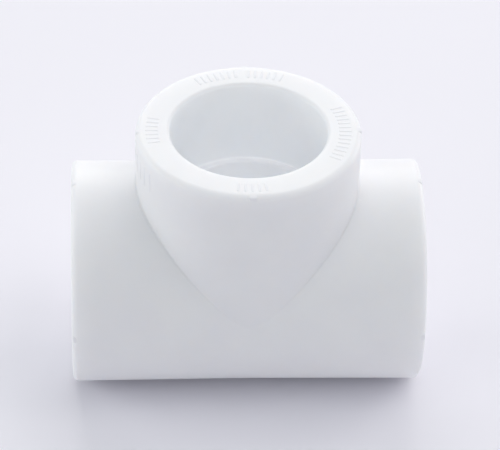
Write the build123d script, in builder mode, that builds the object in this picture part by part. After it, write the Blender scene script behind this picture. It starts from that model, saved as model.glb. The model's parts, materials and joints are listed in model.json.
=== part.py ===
from build123d import *
import os

# Equal tee for socket fusion of 32 mm polypropylene pipe.
# The real fitting is one white moulding. Its nodes here are named regions of it:
# three arms that meet face to face where the moulding would be mitred, and the
# small raised details on them.
# Millimetres. X runs along the run, Z up along the branch, and the run rests on Z = 0.

os.makedirs("parts", exist_ok=True)

# --- driving dimensions
PIPE_OUTSIDE = 32.0                      # the pipe that each socket takes
FUSION_TIGHTNESS = 1.1                   # a socket bore is this much smaller than its pipe
SOCKET_DEPTH = 18.1                      # mouth to pipe stop
PIPE_STOP = 1.45                         # width of the ledge that the pipe's end meets
REACH = 34.9                             # crossing of the axes to each mouth
RUN_R = 22.25                            # outside radius at a mouth of the run
RUN_DRAFT = 0.25                         # loss of outside radius from mouth to crossing
BRANCH_R = 22.2
BRANCH_DRAFT = 0.38

RIM_ROUND = 1.2                          # outer corner of each mouth
LEAD_IN = 0.8                            # inner corner of each mouth
STOP_ROUND = 0.3                         # inner corner of each pipe stop

TICK_WIDTH = 1.6                         # alignment rib across a mouth's outer corner
TICK_SIZE = 1.4
TICK_INSET = 0.05                        # a rib stops this far inside its mouth's plane, and
                                         # on the run, inside its wall's largest radius too
TICK_PROUD = 0.1                         # on the branch it stands this far out of the wall
TICK_ROUND = 0.6

MARK_HEIGHT = 0.1                        # plain raised bars, in place of moulded text
MARK_WIDTH = 0.6
MARK_LENGTH = 2.6
MARK_PITCH = 4.0                         # degrees from one bar to the next
MARK_CIRCLE_R = 19.0

# First and last bearing of each group of bars on the branch's rim, in degrees from +X.
RIM_GROUPS = [(-30, 22), (68, 88), (96, 120), (168, 192), (262, 278)]

# Bearings of the upright bars on the branch's left wall, in degrees from +X.
WALL_BEARINGS = range(178, 209, 6)
WALL_MARK_LENGTH = 4.5
WALL_MARK_DROP = 5.1                     # mouth to the middle of a bar
WALL_MARK_BITE = 0.4                     # how deep a bar starts inside the wall

# --- sizes that follow from them
BORE_R = (PIPE_OUTSIDE - FUSION_TIGHTNESS) / 2
WATERWAY_R = BORE_R - PIPE_STOP
STOP_AT = REACH - SOCKET_DEPTH
AXIS_HEIGHT = RUN_R
MOUTH_HEIGHT = AXIS_HEIGHT + REACH

CROSSING = Vector(0, 0, AXIS_HEIGHT)
UP = Vector(0, 0, 1)
DOWN = Vector(0, 0, -1)
RIGHT = Vector(1, 0, 0)
LEFT = Vector(-1, 0, 0)
BACK = Vector(0, 1, 0)
FRONT = Vector(0, -1, 0)

# The arms meet on three planes through the crossing. Each arm keeps its own side of two of them.
ABOVE_RIGHT_MITRE = Plane(origin=CROSSING, z_dir=UP - RIGHT)
ABOVE_LEFT_MITRE = Plane(origin=CROSSING, z_dir=UP - LEFT)
BELOW_RIGHT_MITRE = Plane(origin=CROSSING, z_dir=RIGHT - UP)
BELOW_LEFT_MITRE = Plane(origin=CROSSING, z_dir=LEFT - UP)
RIGHT_HALF = Plane(origin=CROSSING, z_dir=RIGHT)
LEFT_HALF = Plane(origin=CROSSING, z_dir=LEFT)


def half_section(direction):
    """The plane that holds an arm's section: x outward from its axis, y along it to the mouth."""
    return Plane(origin=CROSSING, x_dir=BACK, z_dir=BACK.cross(direction))


def outside_section(direction, mouth_r, draft):
    """Half the solid outline of one arm, with its rounded mouth, from the crossing out."""
    with BuildSketch(half_section(direction)) as section:
        with BuildLine():
            FilletPolyline(
                (0, 0),
                (mouth_r - draft, 0),
                (mouth_r, REACH),
                (0, REACH),
                radius=(0, 0, RIM_ROUND, 0),
                close=True,
            )
        make_face()
    return section.sketch


def socket_section(direction):
    """Half the space inside one arm: the flared mouth, the socket, its ledge, the waterway."""
    with BuildSketch(half_section(direction)) as section:
        with BuildLine():
            Polyline((0, 0), (WATERWAY_R, 0), (WATERWAY_R, STOP_AT - STOP_ROUND))
            RadiusArc(
                (WATERWAY_R, STOP_AT - STOP_ROUND),
                (WATERWAY_R + STOP_ROUND, STOP_AT),
                STOP_ROUND,
            )
            Polyline(
                (WATERWAY_R + STOP_ROUND, STOP_AT),
                (BORE_R, STOP_AT),
                (BORE_R, REACH - LEAD_IN),
            )
            RadiusArc((BORE_R, REACH - LEAD_IN), (BORE_R + LEAD_IN, REACH), LEAD_IN)
            Polyline((BORE_R + LEAD_IN, REACH), (0, REACH), (0, 0))
        make_face()
    return section.sketch


def make_ticks(direction, outer_r, sides, arm):
    """Four small ribs that cross the rounded outer corner of one mouth, a quarter turn apart."""
    with BuildPart() as ticks:
        for side in sides:
            with BuildSketch(Plane(origin=CROSSING, x_dir=side, z_dir=side.cross(direction))):
                with Locations((outer_r, REACH - TICK_INSET)):
                    rib = Rectangle(TICK_SIZE, TICK_SIZE, align=(Align.MAX, Align.MAX))
                fillet(rib.vertices().group_by(Axis.X)[-1], TICK_ROUND)
            extrude(amount=TICK_WIDTH / 2, both=True)
        add(arm.part, mode=Mode.SUBTRACT)
    return ticks


# --- the whole moulding, which is only a step on the way to its three arms
with BuildPart() as moulding:
    for direction in (RIGHT, LEFT):
        revolve(outside_section(direction, RUN_R, RUN_DRAFT), axis=Axis(CROSSING, direction))
    revolve(outside_section(UP, BRANCH_R, BRANCH_DRAFT), axis=Axis(CROSSING, UP))
    for direction in (RIGHT, LEFT, UP):
        revolve(socket_section(direction), axis=Axis(CROSSING, direction), mode=Mode.SUBTRACT)

# --- the three arms
with BuildPart() as branch_arm:
    add(moulding.part)
    split(bisect_by=ABOVE_RIGHT_MITRE, keep=Keep.TOP)
    split(bisect_by=ABOVE_LEFT_MITRE, keep=Keep.TOP)

with BuildPart() as run_arm_right:
    add(moulding.part)
    split(bisect_by=BELOW_RIGHT_MITRE, keep=Keep.TOP)
    split(bisect_by=RIGHT_HALF, keep=Keep.TOP)

with BuildPart() as run_arm_left:
    add(moulding.part)
    split(bisect_by=BELOW_LEFT_MITRE, keep=Keep.TOP)
    split(bisect_by=LEFT_HALF, keep=Keep.TOP)

# --- alignment ribs, four at each mouth
branch_ticks = make_ticks(UP, BRANCH_R + TICK_PROUD, [RIGHT, LEFT, FRONT, BACK], branch_arm)
right_ticks = make_ticks(RIGHT, RUN_R - TICK_INSET, [UP, DOWN, FRONT, BACK], run_arm_right)
left_ticks = make_ticks(LEFT, RUN_R - TICK_INSET, [UP, DOWN, FRONT, BACK], run_arm_left)

# --- plain raised bars on the flat of the branch's rim
with BuildPart() as rim_marks:
    with BuildSketch(Plane.XY.offset(MOUTH_HEIGHT)):
        for first, last in RIM_GROUPS:
            bars = round((last - first) / MARK_PITCH) + 1
            with PolarLocations(MARK_CIRCLE_R, bars, first, last - first, endpoint=True):
                SlotOverall(MARK_LENGTH, MARK_WIDTH)
    extrude(amount=MARK_HEIGHT)

# --- plain upright bars on the branch's left wall
with BuildPart() as wall_marks:
    for bearing in WALL_BEARINGS:
        outward = RIGHT.rotate(Axis.Z, bearing)
        bar_middle = CROSSING + UP * (REACH - WALL_MARK_DROP)
        wall = Plane(
            origin=bar_middle + outward * (BRANCH_R - WALL_MARK_BITE),
            x_dir=UP,
            z_dir=outward,
        )
        with BuildSketch(wall):
            SlotOverall(WALL_MARK_LENGTH, MARK_WIDTH)
        extrude(amount=WALL_MARK_BITE + MARK_HEIGHT)
    add(branch_arm.part, mode=Mode.SUBTRACT)

pieces = {
    "branch_arm": branch_arm,
    "run_arm_right": run_arm_right,
    "run_arm_left": run_arm_left,
    "branch_ticks": branch_ticks,
    "right_ticks": right_ticks,
    "left_ticks": left_ticks,
    "rim_marks": rim_marks,
    "wall_marks": wall_marks,
}
for name, piece in pieces.items():
    piece.part.label = name
    export_step(piece.part, f"parts/{name}.step")
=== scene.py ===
import json
import math

import bmesh
import bpy
import numpy as np
from mathutils import Matrix, Vector

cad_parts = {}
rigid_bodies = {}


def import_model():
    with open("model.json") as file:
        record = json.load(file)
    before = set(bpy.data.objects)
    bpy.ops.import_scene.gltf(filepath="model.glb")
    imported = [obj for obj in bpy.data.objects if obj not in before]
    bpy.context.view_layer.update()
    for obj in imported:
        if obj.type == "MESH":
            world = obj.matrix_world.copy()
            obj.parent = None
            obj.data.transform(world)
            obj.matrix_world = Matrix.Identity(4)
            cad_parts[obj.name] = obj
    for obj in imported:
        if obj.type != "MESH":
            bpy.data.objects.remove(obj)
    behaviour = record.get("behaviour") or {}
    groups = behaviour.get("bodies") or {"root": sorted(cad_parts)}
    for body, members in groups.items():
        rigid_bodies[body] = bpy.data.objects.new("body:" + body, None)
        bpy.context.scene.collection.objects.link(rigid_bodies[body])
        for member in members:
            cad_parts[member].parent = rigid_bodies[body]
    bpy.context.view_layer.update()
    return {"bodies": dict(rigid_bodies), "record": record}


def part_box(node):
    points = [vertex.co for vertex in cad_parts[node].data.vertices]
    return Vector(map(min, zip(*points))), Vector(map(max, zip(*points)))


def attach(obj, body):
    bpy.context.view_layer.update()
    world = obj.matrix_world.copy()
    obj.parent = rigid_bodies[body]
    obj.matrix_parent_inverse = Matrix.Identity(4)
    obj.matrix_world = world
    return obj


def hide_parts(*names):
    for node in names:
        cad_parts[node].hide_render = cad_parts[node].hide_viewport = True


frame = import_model()

# An equal pipe tee, moulded in one piece of white polypropylene. The run lies along X on the
# floor and the branch stands up along Z. Everything is in metres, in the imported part's frame.

MM = 0.001
RIGHT_ANGLE = math.pi / 2
FULL_TURN = 2 * math.pi

# --- sizes from the frame
MOUNTS = {mount["name"]: mount for mount in frame["record"]["mounts"]}
AXIS_HEIGHT = MOUNTS["right_socket"]["pos_m"][2]
BORE_R = MOUNTS["right_socket"]["dims"]["r_mm"] * MM
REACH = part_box("run_arm_right")[1].x
MOUTH_HEIGHT = AXIS_HEIGHT + REACH
BODY = next(iter(frame["bodies"]))

# --- sizes that the frame doesn't hold, as the CAD model has them
RUN_R = AXIS_HEIGHT
RUN_DRAFT = 0.25 * MM
BRANCH_R = 22.2 * MM
BRANCH_DRAFT = 0.38 * MM
RIM_ROUND = 1.2 * MM
LEAD_IN = 0.8 * MM
SOCKET_DEPTH = 18.1 * MM
WATERWAY_R = 14.0 * MM
STOP_ROUND = 0.3 * MM
STOP_AT = REACH - SOCKET_DEPTH

# --- finer shape, for looks alone
CREASE_BALL = 0.35 * MM                  # radius that rounds the corner between run and branch
WATERWAY_BALL = 0.5 * MM                 # and the edge where the waterways cross
SOCKET_CORNER = 0.25 * MM                # radius where a socket's wall meets its ledge
EDGE_GAP = 0.25 * MM                     # extra line of points this far from each rounding

# --- fineness of the mesh
AROUND = 192                             # points around the branch, a multiple of four
BELOW = 95                               # points around the part of the run below the branch
CREASE_STEPS = 6                         # across the corner between run and branch
ROUND_STEPS = 8                          # across a mouth's outer or inner corner
STOP_STEPS = 4                           # across each corner of a ledge
CORNER_ROUNDS = 80                       # rounds of the search for the rolling ball's place
SMALLEST_ANGLE = 1e-6                    # of a rounding, where the two walls touch
SAME_POINT = 1e-7                        # points closer than this are merged

# --- camera, as measured from the crossing of the run's and the branch's axes
CAMERA_BEARING = -3.137                  # degrees to the right of straight in front
CAMERA_HEIGHT_ANGLE = 38.383             # degrees
CAMERA_ROLL = 1.587                      # degrees
CAMERA_DISTANCE = 616.8 * MM
CAMERA_AIM_RIGHT = 0.072                 # degrees that it aims to the right of the crossing
CAMERA_AIM_UP = 0.835                    # and above it
CAMERA_SENSOR = 36.0                     # width of its sensor and length of its lens, in
CAMERA_LENS = 219.0                      # millimetres


def run_radius(x):
    """Outside radius of the run at a distance along it from the crossing."""
    return RUN_R - RUN_DRAFT * (1 - np.abs(x) / REACH)


def branch_radius(z):
    """Outside radius of the branch at a height above the crossing."""
    return BRANCH_R - BRANCH_DRAFT * (1 - z / REACH)


def waterway_radius(along):
    """Radius of a waterway, which is the same all along it."""
    return np.full(np.shape(along), WATERWAY_R)


class Shell:
    """Points and faces of one closed surface, built ring by ring.

    Each face takes the material number that is set when it is made."""

    def __init__(self):
        self.points = []
        self.faces = []
        self.materials = []
        self.material = 0

    def ring(self, points):
        first = len(self.points)
        self.points.extend(np.asarray(points, float).tolist())
        return list(range(first, len(self.points)))

    def face(self, *corners):
        self.faces.append(corners)
        self.materials.append(self.material)

    def strip(self, one, other):
        """Quads between two closed rings of the same count."""
        for k in range(len(one)):
            self.face(one[k - 1], one[k], other[k], other[k - 1])

    def finish(self, name):
        mesh = bpy.data.meshes.new(name)
        mesh.from_pydata(self.points, [], self.faces)
        mesh.polygons.foreach_set("material_index", self.materials)
        work = bmesh.new()
        work.from_mesh(mesh)
        bmesh.ops.remove_doubles(work, verts=work.verts, dist=SAME_POINT)
        bmesh.ops.recalc_face_normals(work, faces=work.faces)
        for face in work.faces:
            face.smooth = True
        work.to_mesh(mesh)
        work.free()
        piece = bpy.data.objects.new(name, mesh)
        bpy.context.scene.collection.objects.link(piece)
        return piece


# ---------------------------------------------------------------- the moulding


def rolled_corner(run_r, branch_r, ball):
    """Where a ball that rolls round the corner between run and branch touches each of them.

    Returns the points on the run, the rows of points between, and the points on the branch.
    The first point is at the front, under the branch, and they go round by the right."""
    turn = -RIGHT_ANGLE + FULL_TURN * np.arange(AROUND) / AROUND
    z = np.full(AROUND, WATERWAY_R)
    for _ in range(CORNER_ROUNDS):
        x = (branch_r(z) + ball) * np.cos(turn)
        y = (branch_r(z) + ball) * np.sin(turn)
        z = np.sqrt(np.maximum((run_r(x) + ball) ** 2 - y**2, 0))
    centre = np.stack([x, y, z], 1)
    run_share = run_r(x) / (run_r(x) + ball)
    branch_share = branch_r(z) / (branch_r(z) + ball)
    on_run = np.stack([x, y * run_share, z * run_share], 1)
    on_branch = np.stack([x * branch_share, y * branch_share, z], 1)
    one = on_run - centre
    other = on_branch - centre
    cosine = np.clip((one * other).sum(1) / ball**2, -1, 1)
    angle = np.maximum(np.arccos(cosine), SMALLEST_ANGLE)[:, None]
    between = []
    for k in range(1, CREASE_STEPS):
        share = k / CREASE_STEPS
        bent = np.sin((1 - share) * angle) * one + np.sin(share * angle) * other
        between.append(centre + bent / np.sin(angle))
    return on_run, between, on_branch


def arc(centre_r, centre_along, radius, first, last, steps):
    """Points (distance from the axis, distance along it) on an arc, without its first point."""
    angles = np.radians(np.linspace(first, last, steps + 1)[1:])
    return [(centre_r + radius * np.cos(a), centre_along + radius * np.sin(a)) for a in angles]


# The moulding's regions, numbered in the order of its materials.
OUTSIDE, SOCKET, LEDGE, WATERWAY = range(4)


def mouth_profile(outside):
    """An arm's section from its outer wall round the mouth to the waterway.

    Returns its stretches, each as the material number, 0 where its points belong to the
    outer wall and 1 where they belong to the socket, and the points themselves, as
    (distance from the axis, distance along it)."""
    corner_r = outside(REACH - RIM_ROUND) - RIM_ROUND
    rim = arc(corner_r, REACH - RIM_ROUND, RIM_ROUND, 0, 90, ROUND_STEPS)
    rim.append((corner_r - EDGE_GAP, REACH))
    lead_in = arc(BORE_R + LEAD_IN, REACH - LEAD_IN, LEAD_IN, 90, 180, ROUND_STEPS)
    # The outside's plastic reaches halfway round the lead-in, and the socket's starts there.
    half = ROUND_STEPS // 2
    flat = [(BORE_R + LEAD_IN + EDGE_GAP, REACH), (BORE_R + LEAD_IN, REACH), *lead_in[:half]]
    bore = lead_in[half:] + [
        (BORE_R, REACH - LEAD_IN - EDGE_GAP),
        (BORE_R, (REACH + STOP_AT) / 2),
        (BORE_R, STOP_AT + SOCKET_CORNER + EDGE_GAP),
        (BORE_R, STOP_AT + SOCKET_CORNER),
    ]
    ledge = arc(
        BORE_R - SOCKET_CORNER, STOP_AT + SOCKET_CORNER, SOCKET_CORNER, 0, -90, STOP_STEPS
    )
    ledge += [
        (WATERWAY_R + STOP_ROUND + EDGE_GAP, STOP_AT),
        (WATERWAY_R + STOP_ROUND, STOP_AT),
    ]
    edge = arc(WATERWAY_R + STOP_ROUND, STOP_AT - STOP_ROUND, STOP_ROUND, 90, 180, STOP_STEPS)
    ledge += edge[:-1]
    return [(OUTSIDE, 0, rim), (OUTSIDE, 1, flat), (SOCKET, 1, bore), (LEDGE, 1, ledge)]


# Shares of the way from the corner out to the mouth's rounding, closer together at both ends.
OUTWARD = [0.02, 0.08, 0.2, 0.4, 0.6, 0.8, 0.92, 0.985, 1.0]


def grow_branch(shell, base, from_z, radius, end):
    """Rings up one wall of the branch, from the corner's points to the height given."""
    turn = -RIGHT_ANGLE + FULL_TURN * np.arange(AROUND) / AROUND
    last = base
    for share in OUTWARD:
        z = from_z + share * (end - from_z)
        r = radius(z)
        here = shell.ring(np.stack([r * np.cos(turn), r * np.sin(turn), z + AXIS_HEIGHT], 1))
        shell.strip(last, here)
        last = here
    return last


def grow_run(shell, base, from_x, angles, radius, end, side):
    """Rings out along one wall of the run, to the right for side 1 and to the left for -1."""
    last = base
    for share in OUTWARD:
        x = from_x + share * (end - from_x)
        r = radius(x)
        ring = np.stack([side * x, r * np.sin(angles), r * np.cos(angles) + AXIS_HEIGHT], 1)
        here = shell.ring(ring)
        shell.strip(last, here)
        last = here
    return last


def close_mouth(shell, outer_ring, inner_ring, outside, place):
    """Rings round a mouth, from the last one of the outer wall to that of the waterway."""
    last = outer_ring
    for shell.material, inward, points in mouth_profile(outside):
        for r, along in points:
            here = shell.ring(place(r, along, inward))
            shell.strip(last, here)
            last = here
    shell.strip(last, inner_ring)


def grow_skin(shell, run_r, branch_r, ball, end):
    """One skin of the moulding, outer wall or waterway: the corner and three walls.

    Returns the last ring of each arm, and the angles of the run's points round its axis."""
    on_run, between, on_branch = rolled_corner(run_r, branch_r, ball)
    up = np.array([0, 0, AXIS_HEIGHT])
    run_edge = shell.ring(on_run + up)
    last = run_edge
    for row in between:
        here = shell.ring(row + up)
        shell.strip(last, here)
        last = here
    branch_edge = shell.ring(on_branch + up)
    shell.strip(last, branch_edge)

    half = AROUND // 2
    upper = np.arctan2(on_run[: half + 1, 1], on_run[: half + 1, 2])
    lower = np.linspace(upper[-1], FULL_TURN + upper[0], BELOW + 2)[1:-1]
    angles = np.concatenate([upper, lower])
    from_x = np.concatenate([on_run[: half + 1, 0], np.zeros(BELOW)])
    r = run_r(0)
    middle = np.stack([np.zeros(BELOW), r * np.sin(lower), r * np.cos(lower)], 1)
    under = shell.ring(middle + up)
    right_base = run_edge[: half + 1] + under
    left_base = [run_edge[-k] for k in range(half + 1)] + under
    rings = {
        "branch": grow_branch(shell, branch_edge, on_branch[:, 2], branch_r, end["branch"]),
        "right": grow_run(shell, right_base, from_x, angles, run_r, end["run"], 1),
        "left": grow_run(shell, left_base, from_x, angles, run_r, end["run"], -1),
    }
    return rings, angles


def make_moulding():
    """The whole tee as one closed surface."""
    shell = Shell()
    outer_end = {"branch": REACH - RIM_ROUND, "run": REACH - RIM_ROUND}
    inner_end = {"branch": STOP_AT - STOP_ROUND, "run": STOP_AT - STOP_ROUND}
    outer, outer_angles = grow_skin(shell, run_radius, branch_radius, CREASE_BALL, outer_end)
    shell.material = WATERWAY
    inner, inner_angles = grow_skin(
        shell, waterway_radius, waterway_radius, WATERWAY_BALL, inner_end
    )
    turn = -RIGHT_ANGLE + FULL_TURN * np.arange(AROUND) / AROUND

    def on_branch(r, along, inward):
        height = np.full(AROUND, along + AXIS_HEIGHT)
        return np.stack([r * np.cos(turn), r * np.sin(turn), height], 1)

    def on_run(side):
        def place(r, along, inward):
            angles = outer_angles + inward * (inner_angles - outer_angles)
            x = np.full(len(angles), side * along)
            return np.stack([x, r * np.sin(angles), r * np.cos(angles) + AXIS_HEIGHT], 1)

        return place

    close_mouth(shell, outer["branch"], inner["branch"], branch_radius, on_branch)
    close_mouth(shell, outer["right"], inner["right"], run_radius, on_run(1))
    close_mouth(shell, outer["left"], inner["left"], run_radius, on_run(-1))
    return shell.finish("tee_moulding")


# ---------------------------------------------------------------- raised details

PAD_POINTS = 32                          # points around a pad, an even number
PAD_SINK = 0.08 * MM                     # a pad's foot goes this far into the moulding
# How a pad rises: share of its soft edge's width, share of its height.
PAD_RISE = [(0, 0), (0.15, 0.25), (0.35, 0.55), (0.6, 0.83), (0.8, 0.95), (1, 1)]


def add_pad(shell, half_length, half_width, soft_edge, place):
    """A raised bar with round ends and soft edges. place(u, v, rise) puts a point on it,
    u along the bar, v across it, and rise from 0 at its foot to 1 at its top."""
    around = FULL_TURN * np.arange(PAD_POINTS) / PAD_POINTS

    def outline(inset, rise):
        u = (half_width - inset) * np.cos(around)
        v = (half_width - inset) * np.sin(around)
        # The two points at the sides, where the cosine rounds to 0, stay at the bar's middle.
        u += np.sign(np.round(np.cos(around), 6)) * (half_length - half_width)
        return shell.ring([place(a, b, rise) for a, b in zip(u, v)])

    foot = outline(0, -1)
    last = foot
    for inset_share, rise in PAD_RISE:
        here = outline(inset_share * soft_edge, rise)
        shell.strip(last, here)
        last = here
    half = PAD_POINTS // 2
    for ring in (foot, last):
        shell.face(ring[0], ring[1], ring[-1])
        for k in range(1, half - 1):
            shell.face(ring[k], ring[k + 1], ring[-k - 1], ring[-k])
        shell.face(ring[half - 1], ring[half], ring[half + 1])


def lift(rise, height):
    """A point's height above the surface: a foot, with rise below 0, sinks into it."""
    return rise * height if rise >= 0 else -PAD_SINK


# --- plain bars, where the real fitting has moulded marks
MARK_HEIGHT = 0.1 * MM
MARK_HALF_LENGTH = 1.3 * MM
MARK_HALF_WIDTH = 0.3 * MM
MARK_SOFT_EDGE = 0.26 * MM
MARK_CIRCLE_R = 19.0 * MM
MARK_PITCH = 4.0                         # degrees from one bar to the next
# Groups of bars on the branch's rim: first and last bearing in degrees from +X, and the bars'
# share of the full height. The light crosses those at the sides, which would stand out more.
RIM_GROUPS = [(-30, 22, 0.6), (68, 88, 1), (96, 120, 1), (168, 192, 0.6), (262, 278, 1)]

# Bearings of the upright bars on the branch's left wall.
WALL_BEARINGS = range(178, 209, 6)
WALL_MARK_HALF_LENGTH = 2.25 * MM
WALL_MARK_DROP = 5.1 * MM                # mouth to the middle of a bar

# --- alignment ribs across the mouths' outer corners
TICK_HALF_WIDTH = 0.8 * MM
TICK_SOFT_EDGE = 0.3 * MM
TICK_FIRST = 10.0                        # degrees on the mouth's rounding, from the wall's side,
TICK_LAST = 88.0                         # where a rib starts and ends
TICK_INSET = 0.05 * MM                   # mouth's plane to the level top of a full rib
BRANCH_TICK_PROUD = 0.1 * MM             # how far a full rib's tip stands out of the wall,
RUN_TICK_PROUD = -0.05 * MM              # and on the run, how far inside it that tip stays
TICK_SHARE = 0.55                        # a rib's share of a full rib's height


def make_rim_bars():
    """Plain raised bars on the branch's rim, where the real fitting has moulded marks."""
    shell = Shell()
    for first, last, height_share in RIM_GROUPS:
        count = round((last - first) / MARK_PITCH) + 1
        for bearing in np.radians(np.linspace(first, last, count)):
            outward = np.array([math.cos(bearing), math.sin(bearing), 0])
            across = np.array([-math.sin(bearing), math.cos(bearing), 0])
            up = np.array([0, 0, 1])

            def place(u, v, rise):
                flat = outward * (MARK_CIRCLE_R + u) + across * v
                return flat + up * (MOUTH_HEIGHT + lift(rise, height_share * MARK_HEIGHT))

            add_pad(shell, MARK_HALF_LENGTH, MARK_HALF_WIDTH, MARK_SOFT_EDGE, place)
    return shell.finish("rim_bars")


def make_wall_bars():
    """Plain upright bars on the left of the branch's wall."""
    shell = Shell()
    for bearing in np.radians(list(WALL_BEARINGS)):

        def place(u, v, rise):
            z = REACH - WALL_MARK_DROP + u
            r = branch_radius(z) + lift(rise, MARK_HEIGHT)
            turn = bearing + v / BRANCH_R
            return [r * math.cos(turn), r * math.sin(turn), z + AXIS_HEIGHT]

        add_pad(shell, WALL_MARK_HALF_LENGTH, MARK_HALF_WIDTH, MARK_SOFT_EDGE, place)
    return shell.finish("wall_bars")


def rib_height(angle, proud):
    """How far a rib stands out of the mouth's rounding at an angle on it.

    A full rib's top is level, and from its tip its underside slopes back to the wall."""
    top = RIM_ROUND - TICK_INSET
    tip_angle = math.atan2(top, RIM_ROUND + proud)
    tip_height = math.hypot(top, RIM_ROUND + proud) - RIM_ROUND
    first = math.radians(TICK_FIRST)
    underside = tip_height * (angle - first) / (tip_angle - first)
    return TICK_SHARE * min(top / math.sin(angle) - RIM_ROUND, underside)


def make_ribs(name, direction, sides, mouth_r, proud):
    """Four small ribs across the rounded outer corner of one mouth."""
    shell = Shell()
    middle = math.radians((TICK_FIRST + TICK_LAST) / 2)
    half_length = RIM_ROUND * math.radians((TICK_LAST - TICK_FIRST) / 2)
    along = np.array(direction, float)
    crossing = np.array([0, 0, AXIS_HEIGHT])
    for side in sides:
        outward = np.array(side, float)
        across = np.cross(along, outward)

        def place(u, v, rise):
            angle = middle + u / RIM_ROUND
            r = RIM_ROUND + lift(rise, rib_height(angle, proud))
            out = mouth_r - RIM_ROUND + r * math.cos(angle)
            far = REACH - RIM_ROUND + r * math.sin(angle)
            turn = v / mouth_r
            flat = outward * math.cos(turn) + across * math.sin(turn)
            return crossing + flat * out + along * far

        add_pad(shell, half_length, TICK_HALF_WIDTH, TICK_SOFT_EDGE, place)
    return shell.finish(name)


# ---------------------------------------------------------------- materials


OUTSIDE_TONES = [(0.908, 0.906, 0.931, 1), (0.926, 0.924, 0.95, 1)]
# The inside tones are the outside ones made a little less red and more blue: painted bluish
# shade of the light that bounces round inside the sockets and waterways.
PAINTED_SHADE_INSIDE_TONES = [(0.888, 0.906, 0.943, 1), (0.906, 0.924, 0.963, 1)]
# The moulding's plastic in each region: name, share of light that spreads under the surface,
# how far it spreads, and tones. The longer reaches stand for light that comes through the wall.
REGION_PLASTICS = [
    ("outside_white_plastic", 0.85, 2.5 * MM, OUTSIDE_TONES),
    ("socket_white_plastic", 1.0, 11.0 * MM, PAINTED_SHADE_INSIDE_TONES),
    ("ledge_white_plastic", 1.0, 25.0 * MM, PAINTED_SHADE_INSIDE_TONES),
    ("waterway_white_plastic", 1.0, 16.0 * MM, PAINTED_SHADE_INSIDE_TONES),
]


def moulded_plastic(name, scatter, reach, tones):
    """White polypropylene: satin, with a faint grain and slow waves.

    The scatter is the share of light that spreads under the surface before it leaves, the
    reach is how far it spreads, and the tones are its darkest and lightest colours."""
    material = bpy.data.materials.new(name)
    material.use_nodes = True
    nodes = material.node_tree.nodes
    links = material.node_tree.links
    shader = nodes["Principled BSDF"]
    shader.inputs["Subsurface Weight"].default_value = scatter
    shader.inputs["Subsurface Radius"].default_value = (1.0, 0.95, 0.9)
    shader.inputs["Subsurface Scale"].default_value = reach
    shader.inputs["Specular IOR Level"].default_value = 0.3
    shader.inputs["IOR"].default_value = 1.49

    place = nodes.new("ShaderNodeTexCoord")

    tone_noise = nodes.new("ShaderNodeTexNoise")
    tone_noise.inputs["Scale"].default_value = 90.0
    tone_noise.inputs["Detail"].default_value = 3.0
    tone = nodes.new("ShaderNodeValToRGB")
    tone.color_ramp.elements[0].position = 0.35
    tone.color_ramp.elements[0].color = tones[0]
    tone.color_ramp.elements[1].position = 0.65
    tone.color_ramp.elements[1].color = tones[1]
    links.new(place.outputs["Object"], tone_noise.inputs["Vector"])
    links.new(tone_noise.outputs["Fac"], tone.inputs["Fac"])
    links.new(tone.outputs["Color"], shader.inputs["Base Color"])

    gloss_noise = nodes.new("ShaderNodeTexNoise")
    gloss_noise.inputs["Scale"].default_value = 260.0
    gloss_noise.inputs["Detail"].default_value = 4.0
    gloss = nodes.new("ShaderNodeMapRange")
    gloss.inputs["To Min"].default_value = 0.36
    gloss.inputs["To Max"].default_value = 0.46
    links.new(place.outputs["Object"], gloss_noise.inputs["Vector"])
    links.new(gloss_noise.outputs["Fac"], gloss.inputs["Value"])
    links.new(gloss.outputs["Result"], shader.inputs["Roughness"])

    grain_noise = nodes.new("ShaderNodeTexNoise")
    grain_noise.inputs["Scale"].default_value = 2600.0
    grain_noise.inputs["Detail"].default_value = 3.0
    wave_noise = nodes.new("ShaderNodeTexNoise")
    wave_noise.inputs["Scale"].default_value = 170.0
    wave_noise.inputs["Detail"].default_value = 1.0
    grain = nodes.new("ShaderNodeBump")
    grain.inputs["Strength"].default_value = 0.12
    grain.inputs["Distance"].default_value = 0.02 * MM
    wave = nodes.new("ShaderNodeBump")
    wave.inputs["Strength"].default_value = 0.12
    wave.inputs["Distance"].default_value = 0.15 * MM
    links.new(place.outputs["Object"], grain_noise.inputs["Vector"])
    links.new(place.outputs["Object"], wave_noise.inputs["Vector"])
    links.new(grain_noise.outputs["Fac"], grain.inputs["Height"])
    links.new(wave_noise.outputs["Fac"], wave.inputs["Height"])
    links.new(wave.outputs["Normal"], grain.inputs["Normal"])
    links.new(grain.outputs["Normal"], shader.inputs["Normal"])
    return material


def floor_paint():
    """A matt, very pale violet."""
    material = bpy.data.materials.new("pale_floor")
    material.use_nodes = True
    shader = material.node_tree.nodes["Principled BSDF"]
    shader.inputs["Base Color"].default_value = (0.918, 0.9, 0.946, 1)
    shader.inputs["Roughness"].default_value = 0.9
    shader.inputs["Specular IOR Level"].default_value = 0.1
    return material


# ---------------------------------------------------------------- stage


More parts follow.
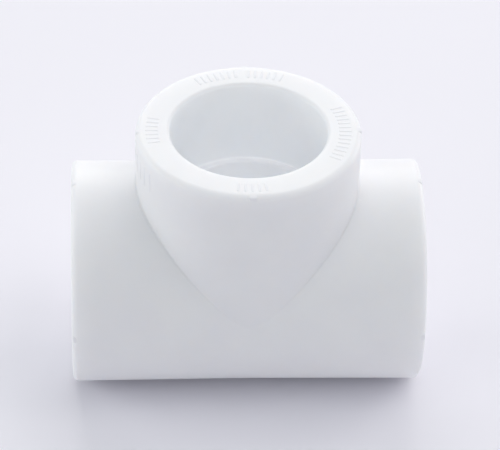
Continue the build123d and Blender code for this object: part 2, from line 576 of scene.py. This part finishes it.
def make_camera():
    """The camera looks down on the crossing, a little from the left, and is rolled slightly."""
    bearing = math.radians(CAMERA_BEARING)
    height = math.radians(CAMERA_HEIGHT_ANGLE)
    back = Vector(
        (
            math.sin(bearing) * math.cos(height),
            -math.cos(bearing) * math.cos(height),
            math.sin(height),
        )
    )
    level_right = (-back).cross(Vector((0, 0, 1))).normalized()
    level_up = level_right.cross(-back)
    aim = -back + level_right * math.tan(math.radians(CAMERA_AIM_RIGHT))
    aim = (aim + level_up * math.tan(math.radians(CAMERA_AIM_UP))).normalized()
    right = aim.cross(Vector((0, 0, 1))).normalized()
    up = right.cross(aim)
    roll = math.radians(CAMERA_ROLL)
    rolled_right = right * math.cos(roll) + up * math.sin(roll)
    rolled_up = up * math.cos(roll) - right * math.sin(roll)
    data = bpy.data.cameras.new("camera")
    data.lens = CAMERA_LENS
    data.sensor_width = CAMERA_SENSOR
    data.clip_start = 10.0 * MM
    data.clip_end = 50.0
    camera = bpy.data.objects.new("camera", data)
    turned = Matrix((rolled_right, rolled_up, -aim)).transposed().to_4x4()
    camera.matrix_world = Matrix.Translation(
        Vector((0, 0, AXIS_HEIGHT)) + back * CAMERA_DISTANCE
    ) @ turned
    bpy.context.scene.collection.objects.link(camera)
    bpy.context.scene.camera = camera


FLOOR_REACH = 6.0                        # from the tee to each edge of the floor


def make_floor():
    mesh = bpy.data.meshes.new("floor")
    far = FLOOR_REACH
    corners = [(-far, -far, 0), (far, -far, 0), (far, far, 0), (-far, far, 0)]
    mesh.from_pydata(corners, [], [(0, 1, 2, 3)])
    floor = bpy.data.objects.new("floor", mesh)
    bpy.context.scene.collection.objects.link(floor)
    mesh.materials.append(floor_paint())


# The lights behind the tee and to its right are a little warmer than those in front and to
# its left.
WARM = (1.014, 0.994, 0.99)
COOL = (0.985, 1.016, 0.985)
# Soft square lights, all as far away: name, bearing from +X and height angle in degrees,
# watts, colour.
LIGHTS = [
    ("back_light", 90, 30, 5.2, WARM),
    ("high_back_left_light", 120, 60, 0.6, WARM),
    ("high_back_right_light", 60, 60, 1.35, WARM),
    ("high_right_light", 0, 60, 2.3, WARM),
    ("high_front_left_light", 240, 60, 1.1, COOL),
    ("front_left_light", 225, 35, 0.95, COOL),
    ("high_front_right_light", 315, 60, 1.6, COOL),
    ("low_left_light", 165, 12, 6.2, COOL),
    ("low_right_light", 35, 12, 5.3, WARM),
]
LIGHT_DISTANCE = 1.4                     # metres
LIGHT_SIDE = 0.8
SKY_COLOUR = (0.95, 0.993, 1.065, 1)
SKY_STRENGTH = 0.39


def make_light(name, bearing, height, power, colour):
    """A square soft light that faces the tee from a bearing and a height angle."""
    turn = math.radians(bearing)
    rise = math.radians(height)
    level = LIGHT_DISTANCE * math.cos(rise)
    up = LIGHT_DISTANCE * math.sin(rise)
    place = Vector((level * math.cos(turn), level * math.sin(turn), up))
    data = bpy.data.lights.new(name, "AREA")
    data.shape = "SQUARE"
    data.size = LIGHT_SIDE
    data.energy = power
    data.color = colour
    light = bpy.data.objects.new(name, data)
    light.location = place
    light.rotation_mode = "QUATERNION"
    light.rotation_quaternion = (-place).to_track_quat("-Z", "Y")
    light.visible_camera = False
    bpy.context.scene.collection.objects.link(light)


def make_lights():
    for values in LIGHTS:
        make_light(*values)
    world = bpy.data.worlds.new("studio")
    world.use_nodes = True
    background = world.node_tree.nodes["Background"]
    background.inputs["Color"].default_value = SKY_COLOUR
    background.inputs["Strength"].default_value = SKY_STRENGTH
    bpy.context.scene.world = world


make_camera()
make_floor()
make_lights()
bpy.context.scene.view_settings.view_transform = "Standard"

region_plastics = [moulded_plastic(*values) for values in REGION_PLASTICS]
# The raised details are too small for light to spread in, so theirs stays at the surface.
raised_plastic = moulded_plastic("raised_white_plastic", 0.0, 2.0 * MM, OUTSIDE_TONES)
LEFT, RIGHT, FRONT, BACK = (-1, 0, 0), (1, 0, 0), (0, -1, 0), (0, 1, 0)
UP, DOWN = (0, 0, 1), (0, 0, -1)
pieces = [
    (make_moulding(), region_plastics, ["branch_arm", "run_arm_right", "run_arm_left"]),
    (make_rim_bars(), [raised_plastic], ["rim_marks"]),
    (make_wall_bars(), [raised_plastic], ["wall_marks"]),
    (
        make_ribs("branch_ribs", UP, [RIGHT, LEFT, FRONT, BACK], BRANCH_R, BRANCH_TICK_PROUD),
        [raised_plastic],
        ["branch_ticks"],
    ),
    (
        make_ribs("right_ribs", RIGHT, [UP, DOWN, FRONT, BACK], RUN_R, RUN_TICK_PROUD),
        [raised_plastic],
        ["right_ticks"],
    ),
    (
        make_ribs("left_ribs", LEFT, [UP, DOWN, FRONT, BACK], RUN_R, RUN_TICK_PROUD),
        [raised_plastic],
        ["left_ticks"],
    ),
]
for piece, materials, nodes in pieces:
    if raised_plastic in materials:
        # It is one with the moulding, so it doesn't keep the light from spreading under it.
        piece.visible_shadow = False
        piece.visible_diffuse = False
    for material in materials:
        piece.data.materials.append(material)
    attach(piece, BODY)
    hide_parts(*nodes)
